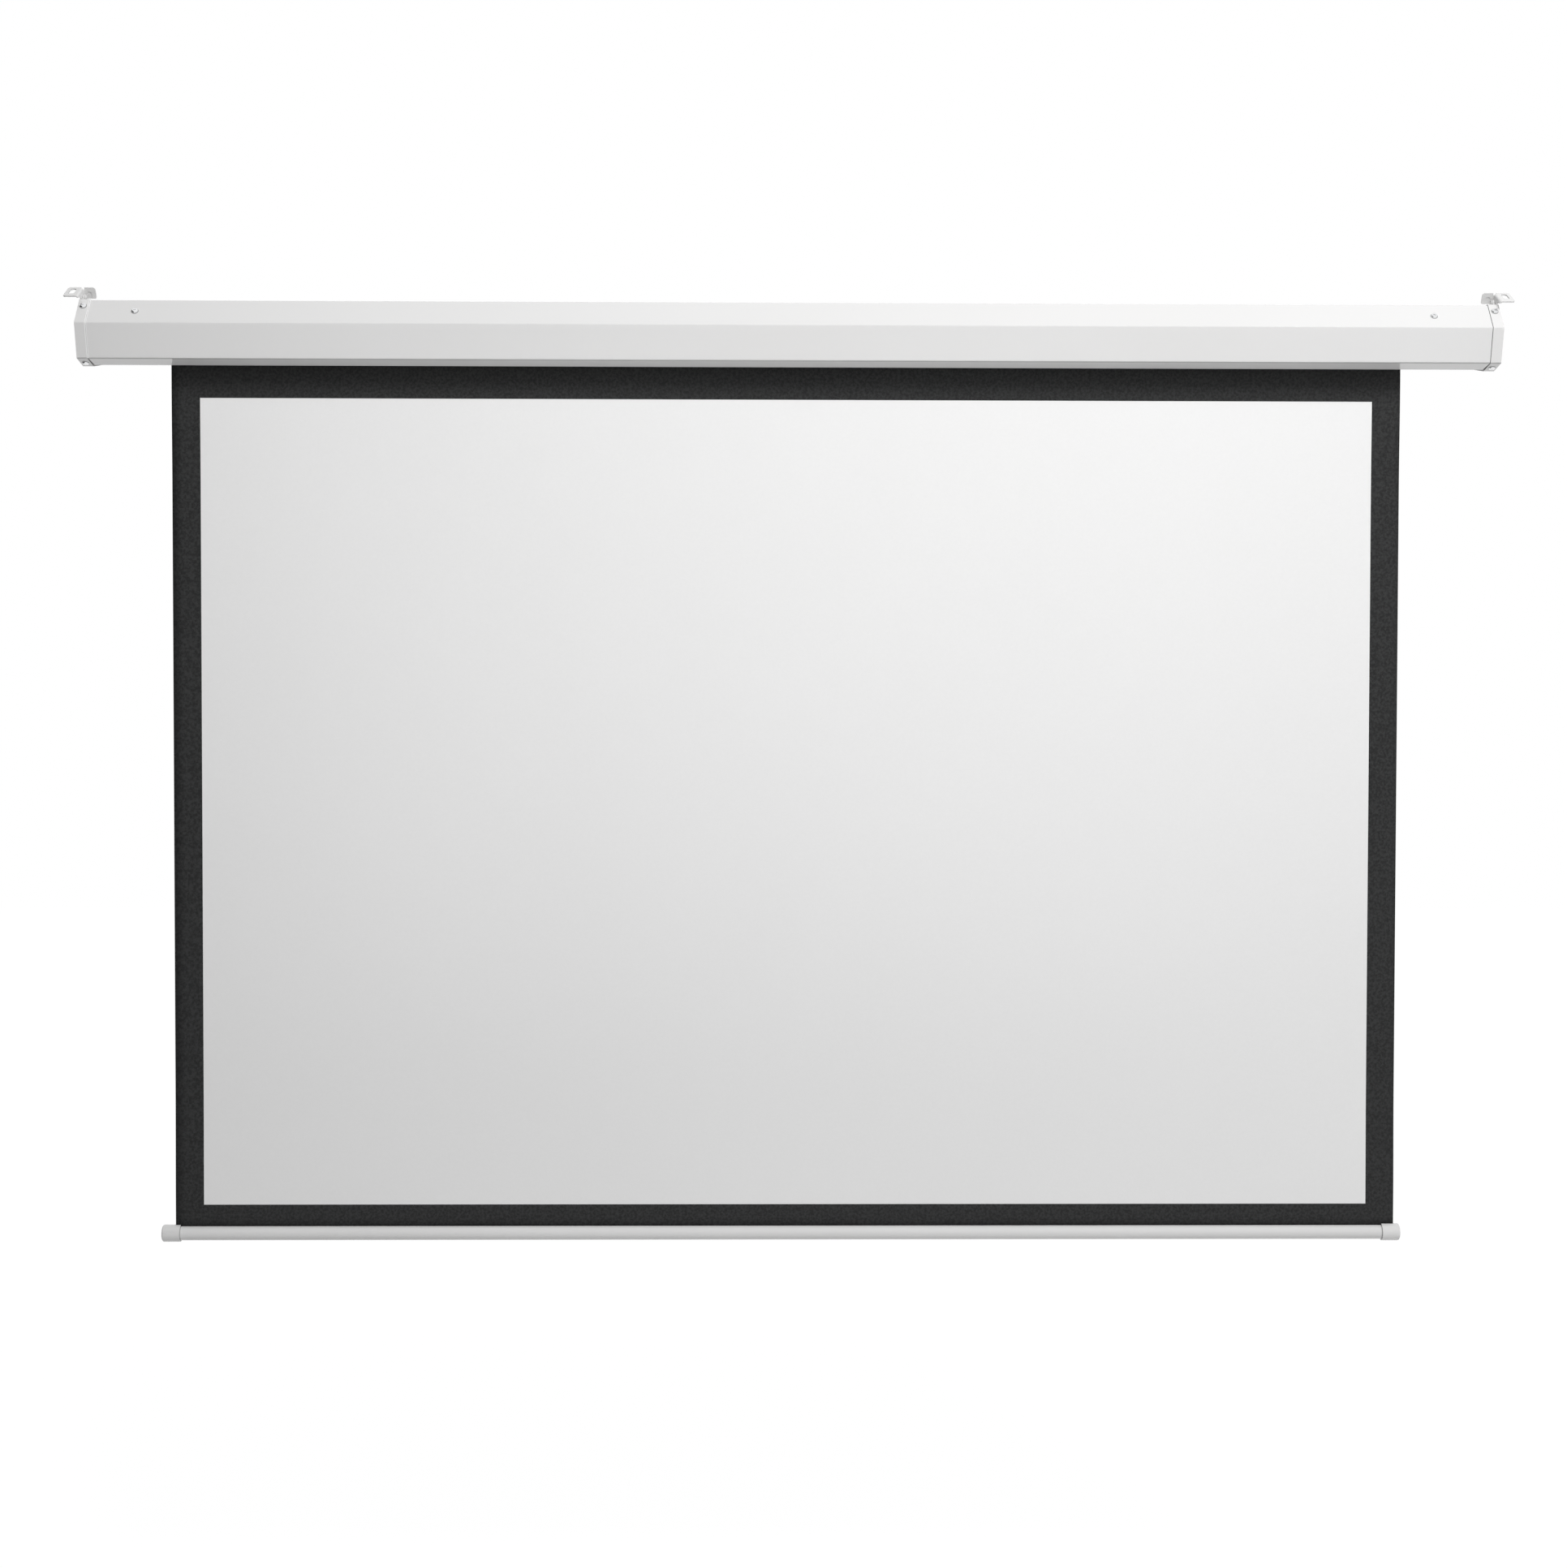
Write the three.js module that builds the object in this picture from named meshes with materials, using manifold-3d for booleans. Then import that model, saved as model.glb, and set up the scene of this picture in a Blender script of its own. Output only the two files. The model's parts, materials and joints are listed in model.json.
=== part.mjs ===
// An electric projection screen, lowered: a folded steel case on two swivelling hanging brackets,
// a roller with a tube motor inside, a matt white fabric with a black border, and a weight bar.
// Millimetres. The front faces -Y, +X is the viewer's right and +Z is up.
// The origin is the middle of the case's flat back, which lies against the wall.
import * as THREE from 'three';
import { mergeVertices } from 'three/addons/utils/BufferGeometryUtils.js';
import Module from 'manifold-3d';

const wasm = await Module();
wasm.setup();

// Case: its section seen from its end, and how far it runs past the fabric at each side
const caseMargin = 128;
const caseDepth = 92;
const caseHeight = 90;
const caseSheet = 1.2;
const caseBend = 3;
const topFacetDepth = 27;
const topFacetHeight = 36;
const frontHeight = 49;
const frontLean = 12.5;
const bottomFacetDepth = 33;
const rearRise = 9;
const rearLipDepth = 18;
const lipHem = 7;

// End caps: moulded a little higher and lower than the case's section
const capWidth = 15.6;
const capWall = 2;
const capRise = 1.7;
const capDrop = 1.7;
const seamGap = 0.4;

// Fits
const fit = 0.3;
const plateFit = 0.5;
const cutOverrun = 1;

// Screws: one size of pan head throughout
const screwHead = 4.6;
const screwHeadHeight = 2.6;
const screwHeadRound = 1.4;
const screwShank = 2.1;
const screwLength = 9;
const recessArm = 5;
const recessSlot = 1.2;
const recessDepth = 1.5;
const leftScrewInset = 67.2;
const rightScrewInset = 81.4;
const caseScrewShare = 0.5;
const capScrewShare = 0.27;
const underScrewShare = 0.55;

// End plates and roller brackets
const plateSheet = 2.2;
const plateGap = 0.4;
const plateCorner = 1;
const earWidth = 8;
const earFoot = 12;
const capTabLength = 7;
const tabLength = 10;
const tabWidth = 14;
const supportSheet = 2.5;
const supportFoot = 14;

// Roller, and the turns of fabric left on it
const rollerRadius = 22.5;
const rollerWall = 1.6;
const rollerHeight = 3;
const fabricTurns = 3;
const rollerGap = 2.4;
const fabricSetback = 12.5;

// Tube motor inside the roller
const motorRadius = 17.3;
const motorLength = 480;
const motorHeadRadius = 22;
const motorHeadLength = 20;
const spigotRadius = 12;
const spigotOverhang = 1;
const motorShaftRadius = 5;
const motorShaftLength = 15;
const crownLength = 11;
const limitRingLength = 9;
const limitRingSetback = 2;
const limitScrewRadius = 2.2;
const limitScrewDepth = 5;
const limitScrewProud = 1.5;
const limitScrewSpacing = 8;

// Idler end
const plugLength = 30;
const plugFlange = 2;
const pinRadius = 6;
const pinOverhang = 3;
const bearingRadius = 10;
const bearingFlange = 13;
const bearingFlangeThickness = 1.5;

// Power inlet: a rubber grommet in the case's top, and the motor's lead up to it
const grommetRadius = 8;
const grommetNeck = 6;
const grommetBore = 2.9;
const grommetHead = 3;
const grommetSetback = 20;
const leadRadius = 2.5;
const leadSides = 10;
const leadSteps = 14;

// Fabric
const viewWidth = 1698;
const viewHeight = 1171;
const sideBorder = 41;
const topBorder = 44.6;
const bottomBorder = 31.4;
const frontLayer = 0.4;
const backLayer = 0.25;
const fabricOffset = -4.7;

// Weight bar, a little longer than the fabric is wide
const barOverhang = 13.5;
const barRadius = 10.3;
const barWall = 1.2;
const barSlit = 2.4;
const barOffset = -10;
const barCapRadius = 12.4;
const barCapLength = 26;
const barCapEnd = 5;
const barCapRound = 2.5;
const splineRadius = 2.2;
const weightRadius = 4;

// Swivel brackets, drawn upright about their pivot: ceiling flange level, wall flange plumb
const bracketSheet = 2;
const bracketBend = 1.2;
const bracketGap = 0.4;
const ceilingReach = 35;
const ceilingWidth = 19.3;
const wallReach = 16.5;
const wallWidth = 16.7;
const bracketCorner = 4;
const plateBrowFront = 14;
const plateBrowRise = 4.5;
const plateChinFront = 5;
const plateChinDrop = 2;
const plateFootDrop = 4.4;
const pivotSetback = 42.3;
const pivotRise = 6.5;
const cornerBack = 7.84;
const cornerRise = 12.1;
const bracketPitch = 30;
const pivotRadius = 2.4;
const pivotHead = 3.7;
const pivotHeadHeight = 1.2;
const pivotNut = 3.7;
const pivotNutHeight = 1.5;
const slotWidth = 8.5;
const slotLength = 20.5;
const slotSetback = 15.75;
const pressWidth = 6.5;
const pressInset = 9;
const pressDrop = 5.4;
const pressDepth = 0.9;

// Round work is cut into this many flats, and a bend into this many
const flats = 48;
const smallFlats = 24;
const bendSteps = 4;
const domeShares = [0.25, 0.5, 0.75];
const sameSpot = 0.01;

const halfTurn = Math.PI;
const quarterTurn = Math.PI / 2;
const fabricWidth = viewWidth + 2 * sideBorder;
const barLength = fabricWidth + 2 * barOverhang;
const halfCase = fabricWidth / 2 + caseMargin;
const shellEnd = halfCase - capWidth - seamGap;

// Materials
const finish = (color, roughness, metalness) =>
  new THREE.MeshStandardMaterial({ color, roughness, metalness });
const casePaint = finish('#ececeb', 0.35, 0);
const capPaint = finish('#e9e9e8', 0.4, 0);
const barPaint = finish('#e6e6e5', 0.32, 0);
const bracketPaint = finish('#ededec', 0.4, 0);
const plainSteel = finish('#a9abad', 0.4, 1);
const chrome = finish('#c9cbce', 0.15, 1);
const tubeAluminium = finish('#c4c6c8', 0.35, 1);
const blackPlastic = finish('#1d1e20', 0.5, 0);
const greyPlastic = finish('#6c7074', 0.55, 0);
const rubber = finish('#18191a', 0.8, 0);
const fabricWhite = finish('#f3f3f2', 0.9, 0);
const fabricBlack = finish('#2f3130', 0.85, 0);

// The case's section is drawn in [y, z] points and then drawn out along X.
const point = (y, z) => new THREE.Vector2(y, z);

// A line beside a run of points, to its right, with mitred corners; a closed run goes all the way round.
function beside(points, distance, isClosed) {
  const count = points.length;
  return points.map((here, i) => {
    const before = isClosed || i > 0 ? points[(i + count - 1) % count] : null;
    const after = isClosed || i < count - 1 ? points[(i + 1) % count] : null;
    const arriving = before ? here.clone().sub(before).normalize() : after.clone().sub(here).normalize();
    const leaving = after ? after.clone().sub(here).normalize() : arriving;
    const first = point(arriving.y, -arriving.x);
    const second = point(leaving.y, -leaving.x);
    const reach = distance / (1 + first.dot(second));
    return here.clone().add(first.add(second).multiplyScalar(reach));
  });
}

// A closed outline moved inwards by a distance.
const inset = (points, distance) =>
  beside(points, -distance * Math.sign(THREE.ShapeUtils.area(points)), true);

// Rounds the corners of a closed outline, all alike or each by its own radius; 0 leaves a corner sharp.
// Where two arcs meet, only one of the two points that fall together stays.
function rounded(points, radii) {
  const count = points.length;
  const corners = points.flatMap((here, i) => {
    const radius = Array.isArray(radii) ? radii[i] : radii;
    if (radius <= 0) return [here.clone()];
    const toBefore = points[(i + count - 1) % count].clone().sub(here).normalize();
    const toAfter = points[(i + 1) % count].clone().sub(here).normalize();
    const halfAngle = Math.acos(THREE.MathUtils.clamp(toBefore.dot(toAfter), -1, 1)) / 2;
    const bisector = toBefore.clone().add(toAfter).normalize();
    const centre = here.clone().addScaledVector(bisector, radius / Math.sin(halfAngle));
    const setback = radius / Math.tan(halfAngle);
    const start = here.clone().add(toBefore.multiplyScalar(setback)).sub(centre);
    const end = here.clone().add(toAfter.multiplyScalar(setback)).sub(centre);
    const sweep = Math.atan2(start.cross(end), start.dot(end));
    return Array.from({ length: bendSteps + 1 }, (_, k) =>
      start.clone().rotateAround(point(0, 0), (sweep * k) / bendSteps).add(centre));
  });
  return corners.filter((corner, i) => corner.distanceTo(corners.at(i - 1)) > sameSpot);
}

// A closed surface with shared corners and no flat slivers, ready for cutting and joining.
function closed(geometry) {
  const bare = geometry.index ? geometry.toNonIndexed() : geometry.clone();
  bare.deleteAttribute('normal');
  bare.deleteAttribute('uv');
  const merged = mergeVertices(bare);
  const index = [];
  for (let i = 0; i < merged.index.count; i += 3) {
    const corners = [merged.index.getX(i), merged.index.getX(i + 1), merged.index.getX(i + 2)];
    if (new Set(corners).size === 3) index.push(...corners);
  }
  merged.setIndex(index);
  return merged;
}

function solid(geometry) {
  const surface = closed(geometry);
  return new wasm.Manifold(new wasm.Mesh({
    numProp: 3,
    vertProperties: new Float32Array(surface.attributes.position.array),
    triVerts: new Uint32Array(surface.index.array),
  }));
}

function geometryOf(manifold) {
  const result = manifold.getMesh();
  const geometry = new THREE.BufferGeometry();
  geometry.setAttribute('position', new THREE.BufferAttribute(new Float32Array(result.vertProperties), 3));
  geometry.setIndex(Array.from(result.triVerts));
  return geometry;
}

const cut = (whole, ...tools) =>
  geometryOf(tools.reduce((left, tool) => left.subtract(solid(tool)), solid(whole)));
const join = (first, ...others) =>
  geometryOf(others.reduce((sum, piece) => sum.add(solid(piece)), solid(first)));

// An outline with any holes, drawn out between two places along one axis.
function drawn(outline, from, to, holes, axes) {
  const shape = new THREE.Shape(outline);
  holes.forEach((hole) => shape.holes.push(new THREE.Path(hole)));
  const geometry = new THREE.ExtrudeGeometry(shape, { depth: Math.abs(to - from), bevelEnabled: false });
  return geometry.applyMatrix4(new THREE.Matrix4().makeBasis(...axes));
}
const xAxis = new THREE.Vector3(1, 0, 0);
const yAxis = new THREE.Vector3(0, 1, 0);
const zAxis = new THREE.Vector3(0, 0, 1);
const backwards = new THREE.Vector3(0, -1, 0);

// Outlines in [y, z] along X, in [x, z] along Y and in [x, y] along Z
const alongX = (outline, from, to, holes = []) =>
  drawn(outline, from, to, holes, [yAxis, zAxis, xAxis]).translate(Math.min(from, to), 0, 0);
const alongY = (outline, from, to, holes = []) =>
  drawn(outline, from, to, holes, [xAxis, zAxis, backwards]).translate(0, Math.max(from, to), 0);
const alongZ = (outline, from, to, holes = []) =>
  drawn(outline, from, to, holes, [xAxis, yAxis, zAxis]).translate(0, 0, Math.min(from, to));

const circle = (radius, y, z, count) => Array.from({ length: count }, (_, i) => {
  const angle = (2 * halfTurn * i) / count;
  return point(y + radius * Math.cos(angle), z + radius * Math.sin(angle));
});
const rod = (radius, from, to, y, z, count = flats) => alongX(circle(radius, y, z, count), from, to);
const tube = (outer, inner, from, to, y, z, count = flats) =>
  alongX(circle(outer, y, z, count), from, to, [circle(inner, y, z, count)]);
const rectangle = (fromX, toX, fromY, toY) =>
  [point(fromX, fromY), point(toX, fromY), point(toX, toY), point(fromX, toY)];
const block = (fromX, toX, fromY, toY, fromZ, toZ) => alongZ(rectangle(fromX, toX, fromY, toY), fromZ, toZ);

// A slot's outline: round ends on the second axis
const obround = (x, y, width, length) =>
  rounded(rectangle(x - width / 2, x + width / 2, y - length / 2, y + length / 2), width / 2);

const screen = new THREE.Group();
screen.name = 'projection_screen';

function add(name, geometry, material, parent = screen) {
  const mesh = new THREE.Mesh(closed(geometry), material);
  mesh.name = name;
  parent.add(mesh);
  return mesh;
}

// Corners of the case's section. Its underside rises from the front lip to the flat back.
const along = (from, to, share) => from.clone().lerp(to, share);
const caseTop = caseHeight / 2;
const caseFloor = -caseHeight / 2;
const frontEdge = point(-caseDepth, caseTop - topFacetHeight);
const topEdge = point(-caseDepth + topFacetDepth, caseTop);
const frontFoot = point(-caseDepth + frontLean, frontEdge.y - frontHeight);
const frontLip = point(frontFoot.x + bottomFacetDepth, caseFloor);
const topBack = point(0, caseTop);
const bottomBack = point(0, caseFloor + rearRise);
const rearLip = along(bottomBack, frontLip, rearLipDepth / (bottomBack.x - frontLip.x));
const capCrest = along(frontEdge, topEdge, 1 + capRise / topFacetHeight);
const capLip = point(frontLip.x, frontLip.y - capDrop);
const capBack = point(0, bottomBack.y - capDrop);
const capTopBack = point(0, capCrest.y);
const capOutline = [capCrest, frontEdge, frontFoot, capLip, capBack, capTopBack];

// Screws sit square on a facet, at a share of the way along it
const facing = (from, to) => Math.atan2(to.y - from.y, to.x - from.x) + quarterTurn;
const topFacing = facing(frontEdge, topEdge);
const underFacing = facing(frontFoot, capLip) - halfTurn;
const caseScrewSeat = along(topEdge, frontEdge, caseScrewShare);
const capTopSeat = along(topEdge, frontEdge, capScrewShare);
const capUnderSeat = along(frontFoot, capLip, underScrewShare);
const capScrewX = halfCase - capWidth / 2;
const leftScrewX = -(halfCase - capWidth - leftScrewInset);
const rightScrewX = halfCase - capWidth - rightScrewInset;

// A pan head screw standing on its seat, head up, with a cross recess
function screwGeometry() {
  const shoulder = screwHeadHeight - screwHeadRound;
  const dome = domeShares.map((share) => point(
    screwHead - screwHeadRound * (1 - Math.cos(quarterTurn * share)),
    shoulder + screwHeadRound * Math.sin(quarterTurn * share)));
  const profile = [
    point(0, -screwLength), point(screwShank / 2, -screwLength), point(screwShank, -screwLength + screwShank),
    point(screwShank, 0), point(screwHead, 0), point(screwHead, shoulder), ...dome,
    point(screwHead - screwHeadRound, screwHeadHeight), point(0, screwHeadHeight),
  ];
  const body = new THREE.LatheGeometry(profile, smallFlats).rotateX(quarterTurn);
  const arm = (x, y) => block(-x / 2, x / 2, -y / 2, y / 2,
    screwHeadHeight - recessDepth, screwHeadHeight + cutOverrun);
  return cut(body, arm(recessArm, recessSlot), arm(recessSlot, recessArm));
}

function placeScrew(name, x, seat, turn) {
  const mesh = add(name, screwGeometry(), chrome);
  mesh.position.set(x, seat.x + Math.cos(turn) * fit, seat.y + Math.sin(turn) * fit);
  mesh.rotation.x = turn - quarterTurn;
}

// The clearance hole for such a screw, drilled square through its facet
function screwHole(x, seat, turn) {
  const radius = screwShank + fit;
  const drill = new THREE.CylinderGeometry(radius, radius, 2 * screwLength, smallFlats);
  return drill.rotateX(turn).translate(x, seat.x, seat.y);
}

// A tab close under a facet, for a screw to bite in
function screwTab(from, to, seat, turn, wall, sheet) {
  const tab = block(Math.min(from, to), Math.max(from, to), -tabWidth / 2, tabWidth / 2,
    -wall - fit - sheet, -wall - fit);
  return tab.rotateX(turn - quarterTurn).translate(0, seat.x, seat.y);
}

// Places along the case, from the left roller bracket to the right one
const leftSupport = [leftScrewX + tabLength / 2, leftScrewX + tabLength / 2 + supportSheet];
const rightSupport = [rightScrewX - tabLength / 2 - supportSheet, rightScrewX - tabLength / 2];
const motorHeadX = leftSupport[1] + fit;
const motorX = motorHeadX + motorHeadLength + fit;
const motorEnd = motorX + motorLength;
const rollerLeft = motorX + rollerGap;
const rollerRight = rightSupport[0] - bearingFlangeThickness - rollerGap - plugFlange - fit;
const rollerBore = rollerRadius - rollerWall;
const rollInner = rollerRadius + fit;
const rollOuter = rollInner + fabricTurns * (frontLayer + backLayer);
const fabricFront = frontLip.x + fabricSetback;
const fabricMiddle = fabricFront + frontLayer;
const fabricBack = fabricMiddle + backLayer;
const rollerY = fabricFront - fit - rollOuter;
const rollerZ = rollerHeight;
const inletX = motorHeadX + motorHeadLength / 2;
const inletY = -grommetSetback;

// Case shell: one folded sheet, open underneath where the fabric comes out
function caseShell() {
  const run = [
    point(frontLip.x, frontLip.y + lipHem), frontLip, frontFoot, frontEdge, topEdge,
    topBack, bottomBack, rearLip, point(rearLip.x, rearLip.y + lipHem),
  ];
  const inside = beside(run, caseSheet, false).reverse();
  const outerBends = [0, caseSheet, caseBend, caseBend, caseBend, caseBend, caseBend, caseSheet, 0];
  const innerBends = outerBends.map((radius) => Math.max(radius - caseSheet, 0)).reverse();
  const strip = alongX(rounded([...run, ...inside], [...outerBends, ...innerBends]), -shellEnd, shellEnd);
  const inletHole = new THREE.CylinderGeometry(grommetNeck + fit, grommetNeck + fit, lipHem, smallFlats)
    .rotateX(quarterTurn).translate(inletX, inletY, caseTop);
  return cut(strip, screwHole(leftScrewX, caseScrewSeat, topFacing),
    screwHole(rightScrewX, caseScrewSeat, topFacing), inletHole);
}
add('case_shell', caseShell(), casePaint);
placeScrew('left_case_screw', leftScrewX, caseScrewSeat, topFacing);
placeScrew('right_case_screw', rightScrewX, caseScrewSeat, topFacing);

// Pivot of the swivel brackets, and the end plates that carry it
const pivotY = -caseDepth + pivotSetback;
const pivotZ = caseTop + pivotRise;
const plateOuter = halfCase - capWall - plateGap;
const plateInner = plateOuter - plateSheet;
const bracketInner = plateOuter + bracketGap;
const bracketOuter = bracketInner + bracketSheet;

// End cap: a moulded rim and end wall, slotted on top for the end plate's ear
function endCap(side) {
  const outer = alongX(rounded(capOutline, caseBend), side * (halfCase - capWidth), side * halfCase);
  const hollow = alongX(rounded(inset(capOutline, capWall), caseBend - capWall),
    side * (halfCase - capWidth - cutOverrun), side * (halfCase - capWall));
  const halfSlot = earWidth / 2 + plateFit;
  const slotOutline = rectangle(pivotY - halfSlot, pivotY + halfSlot, capCrest.y - capWall - cutOverrun,
    capCrest.y + cutOverrun);
  const earSlot = alongX(slotOutline, side * (plateInner - plateFit), side * (plateOuter + fit));
  return cut(outer, hollow, earSlot, screwHole(side * capScrewX, capTopSeat, topFacing),
    screwHole(side * capScrewX, capUnderSeat, underFacing));
}

// End plate: screwed into the cap, and its ear carries the bracket
function endPlate(side) {
  const ends = [side * plateInner, side * plateOuter];
  const body = alongX(rounded(inset(capOutline, capWall + plateFit), plateCorner), ...ends);
  const earHalf = earWidth / 2;
  const earOutline = rectangle(pivotY - earHalf, pivotY + earHalf, caseTop - earFoot, pivotZ + earHalf);
  const ear = alongX(rounded(earOutline, [0, 0, earHalf, earHalf]), ...ends);
  const tabEnds = [side * (plateInner - capTabLength), side * (halfCase - capWall - plateFit)];
  const joined = join(body, ear, screwTab(...tabEnds, capTopSeat, topFacing, capWall, plateSheet),
    screwTab(...tabEnds, capUnderSeat, underFacing, capWall, plateSheet));
  const pivotHole = rod(pivotRadius + fit, side * (plateInner - cutOverrun), side * (plateOuter + cutOverrun),
    pivotY, pivotZ, smallFlats);
  return cut(joined, pivotHole, screwHole(side * capScrewX, capTopSeat, topFacing),
    screwHole(side * capScrewX, capUnderSeat, underFacing));
}

// Roller bracket: a plate across the case, with a tab that takes the case's top screw
function rollerBracket(ends, tabFrom, tabTo, bore, screwX) {
  const footZ = caseFloor + supportFoot;
  const outline = [topEdge, frontEdge, along(frontEdge, frontFoot, (frontEdge.y - footZ) / frontHeight),
    point(0, footZ), topBack];
  const plate = alongX(rounded(inset(outline, caseSheet + plateFit), caseBend), ...ends);
  const tab = screwTab(tabFrom, tabTo, caseScrewSeat, topFacing, caseSheet, supportSheet);
  const drill = rod(bore, ends[0] - cutOverrun, ends[1] + cutOverrun, rollerY, rollerZ);
  return cut(join(plate, tab), drill, screwHole(screwX, caseScrewSeat, topFacing));
}
add('left_roller_bracket', rollerBracket(leftSupport, leftScrewX - tabLength / 2, leftSupport[1],
  spigotRadius + fit, leftScrewX), plainSteel);
add('right_roller_bracket', rollerBracket(rightSupport, rightSupport[0], rightScrewX + tabLength / 2,
  bearingRadius + fit, rightScrewX), plainSteel);

// Tube motor: head, tube, output shaft and the two limit screws under the head
const limitScrewX = [inletX - limitScrewSpacing / 2, inletX + limitScrewSpacing / 2];
const headFoot = rollerZ - motorHeadRadius;
const upright = (radius, x, from, to) => alongZ(circle(radius, x, rollerY, smallFlats), from, to);
const motorHead = join(rod(motorHeadRadius, motorHeadX, motorHeadX + motorHeadLength, rollerY, rollerZ),
  rod(spigotRadius, leftSupport[0] - spigotOverhang, motorHeadX + fit, rollerY, rollerZ));
const limitBores = limitScrewX.map((x) =>
  upright(limitScrewRadius + fit, x, headFoot - cutOverrun, headFoot + limitScrewDepth + fit));
add('motor_head', cut(motorHead, ...limitBores), blackPlastic);
add('motor_tube', rod(motorRadius, motorX, motorEnd, rollerY, rollerZ), plainSteel);
add('motor_shaft', rod(motorShaftRadius, motorEnd + fit, motorEnd + motorShaftLength, rollerY, rollerZ,
  smallFlats), plainSteel);
add('upper_limit_screw', upright(limitScrewRadius, limitScrewX[0], headFoot - limitScrewProud,
  headFoot + limitScrewDepth), greyPlastic);
add('lower_limit_screw', upright(limitScrewRadius, limitScrewX[1], headFoot - limitScrewProud,
  headFoot + limitScrewDepth), greyPlastic);

// Roller: tube, the motor's drive crown and limit ring, the idler plug with its pin, and the turns left on it
add('roller_tube', tube(rollerRadius, rollerBore, rollerLeft, rollerRight, rollerY, rollerZ), tubeAluminium);
const crownX = motorEnd + fit + (motorShaftLength - crownLength) / 2;
add('drive_crown', tube(rollerBore - fit, motorShaftRadius + fit, crownX, crownX + crownLength,
  rollerY, rollerZ), blackPlastic);
const limitRingX = rollerLeft + limitRingSetback;
add('limit_ring', tube(rollerBore - fit, motorRadius + fit, limitRingX, limitRingX + limitRingLength,
  rollerY, rollerZ), blackPlastic);
const idlerPlug = join(
  tube(rollerBore - fit, pinRadius + fit, rollerRight - plugLength, rollerRight + fit, rollerY, rollerZ),
  tube(rollerRadius, pinRadius + fit, rollerRight + fit, rollerRight + fit + plugFlange, rollerY, rollerZ));
add('idler_plug', idlerPlug, blackPlastic);
add('idler_pin', rod(pinRadius, rollerRight - plugLength, rightSupport[1] + pinOverhang, rollerY, rollerZ,
  smallFlats), plainSteel);
const bearing = join(
  tube(bearingRadius, pinRadius + fit, rightSupport[0], rightSupport[1] + fit, rollerY, rollerZ),
  tube(bearingFlange, pinRadius + fit, rightSupport[0] - fit - bearingFlangeThickness, rightSupport[0] - fit,
    rollerY, rollerZ),
  tube(bearingRadius, pinRadius + fit, rightSupport[0] - 2 * fit, rightSupport[0] + fit, rollerY, rollerZ));
add('idler_bearing', bearing, greyPlastic);
const fabricLeft = fabricOffset - fabricWidth / 2;
const fabricRight = fabricOffset + fabricWidth / 2;
add('fabric_roll', tube(rollOuter, rollInner, fabricLeft, fabricRight, rollerY, rollerZ), fabricBlack);

// Power inlet and the motor's short lead
function grommet() {
  const under = caseTop - caseSheet - fit;
  const over = caseTop + fit;
  const ring = (radius, from, to) => alongZ(circle(radius, inletX, inletY, smallFlats), from, to);
  const body = join(ring(grommetRadius, over, over + grommetHead), ring(grommetNeck, under - fit, over + fit),
    ring(grommetRadius, under - grommetHead, under));
  return cut(body, ring(grommetBore, under - grommetHead - cutOverrun, over + grommetHead + cutOverrun));
}
add('cable_grommet', grommet(), rubber);
const leadStart = rollerY + motorHeadRadius + fit;
const leadRoute = new THREE.CatmullRomCurve3([
  new THREE.Vector3(inletX, leadStart, rollerZ),
  new THREE.Vector3(inletX, leadStart + leadRadius, rollerZ),
  new THREE.Vector3(inletX, inletY, (rollerZ + caseTop) / 2),
  new THREE.Vector3(inletX, inletY, caseTop - lipHem),
  new THREE.Vector3(inletX, inletY, caseTop + grommetHead),
]);
const leadShape = new THREE.Shape(circle(leadRadius, 0, 0, leadSides));
add('motor_lead', new THREE.ExtrudeGeometry(leadShape, { steps: leadSteps, extrudePath: leadRoute }), rubber);

// Fabric: a white viewing surface inside a black border, on a black backing
const viewTop = caseFloor - topBorder;
const viewBottom = viewTop - viewHeight;
const hemTop = viewBottom - bottomBorder;
const barZ = hemTop - barRadius;
const fabricFoot = barZ + barRadius - barWall - fit;
const viewOutline = rectangle(fabricLeft + sideBorder, fabricRight - sideBorder, viewBottom, viewTop);
const fabricOutline = rectangle(fabricLeft, fabricRight, fabricFoot, rollerZ);
add('viewing_surface', alongY(viewOutline, fabricFront, fabricMiddle), fabricWhite);
add('black_border', alongY(fabricOutline, fabricFront, fabricMiddle, [viewOutline]), fabricBlack);
add('fabric_backing', alongY(fabricOutline, fabricMiddle, fabricBack), fabricBlack);

// Weight bar: a slit tube that holds the fabric by a spline in its hem, a steel rod for weight, and two caps
const barY = (fabricFront + fabricBack) / 2;
const barLeft = barOffset - barLength / 2;
const barRight = barOffset + barLength / 2;
const barInnerRadius = barRadius - barWall;
const tubeEnds = [barLeft + barCapEnd + fit, barRight - barCapEnd - fit];
const barTube = cut(tube(barRadius, barInnerRadius, ...tubeEnds, barY, barZ),
  block(tubeEnds[0] - cutOverrun, tubeEnds[1] + cutOverrun, barY - barSlit / 2, barY + barSlit / 2,
    barZ, hemTop + cutOverrun));
add('bar_tube', barTube, barPaint);
add('hem_spline', rod(splineRadius, fabricLeft, fabricRight, barY, fabricFoot - fit - splineRadius,
  smallFlats), greyPlastic);
add('weight_rod', rod(weightRadius, tubeEnds[0] + fit, tubeEnds[1] - fit, barY,
  barZ - barInnerRadius + weightRadius + fit, smallFlats), plainSteel);

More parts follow.
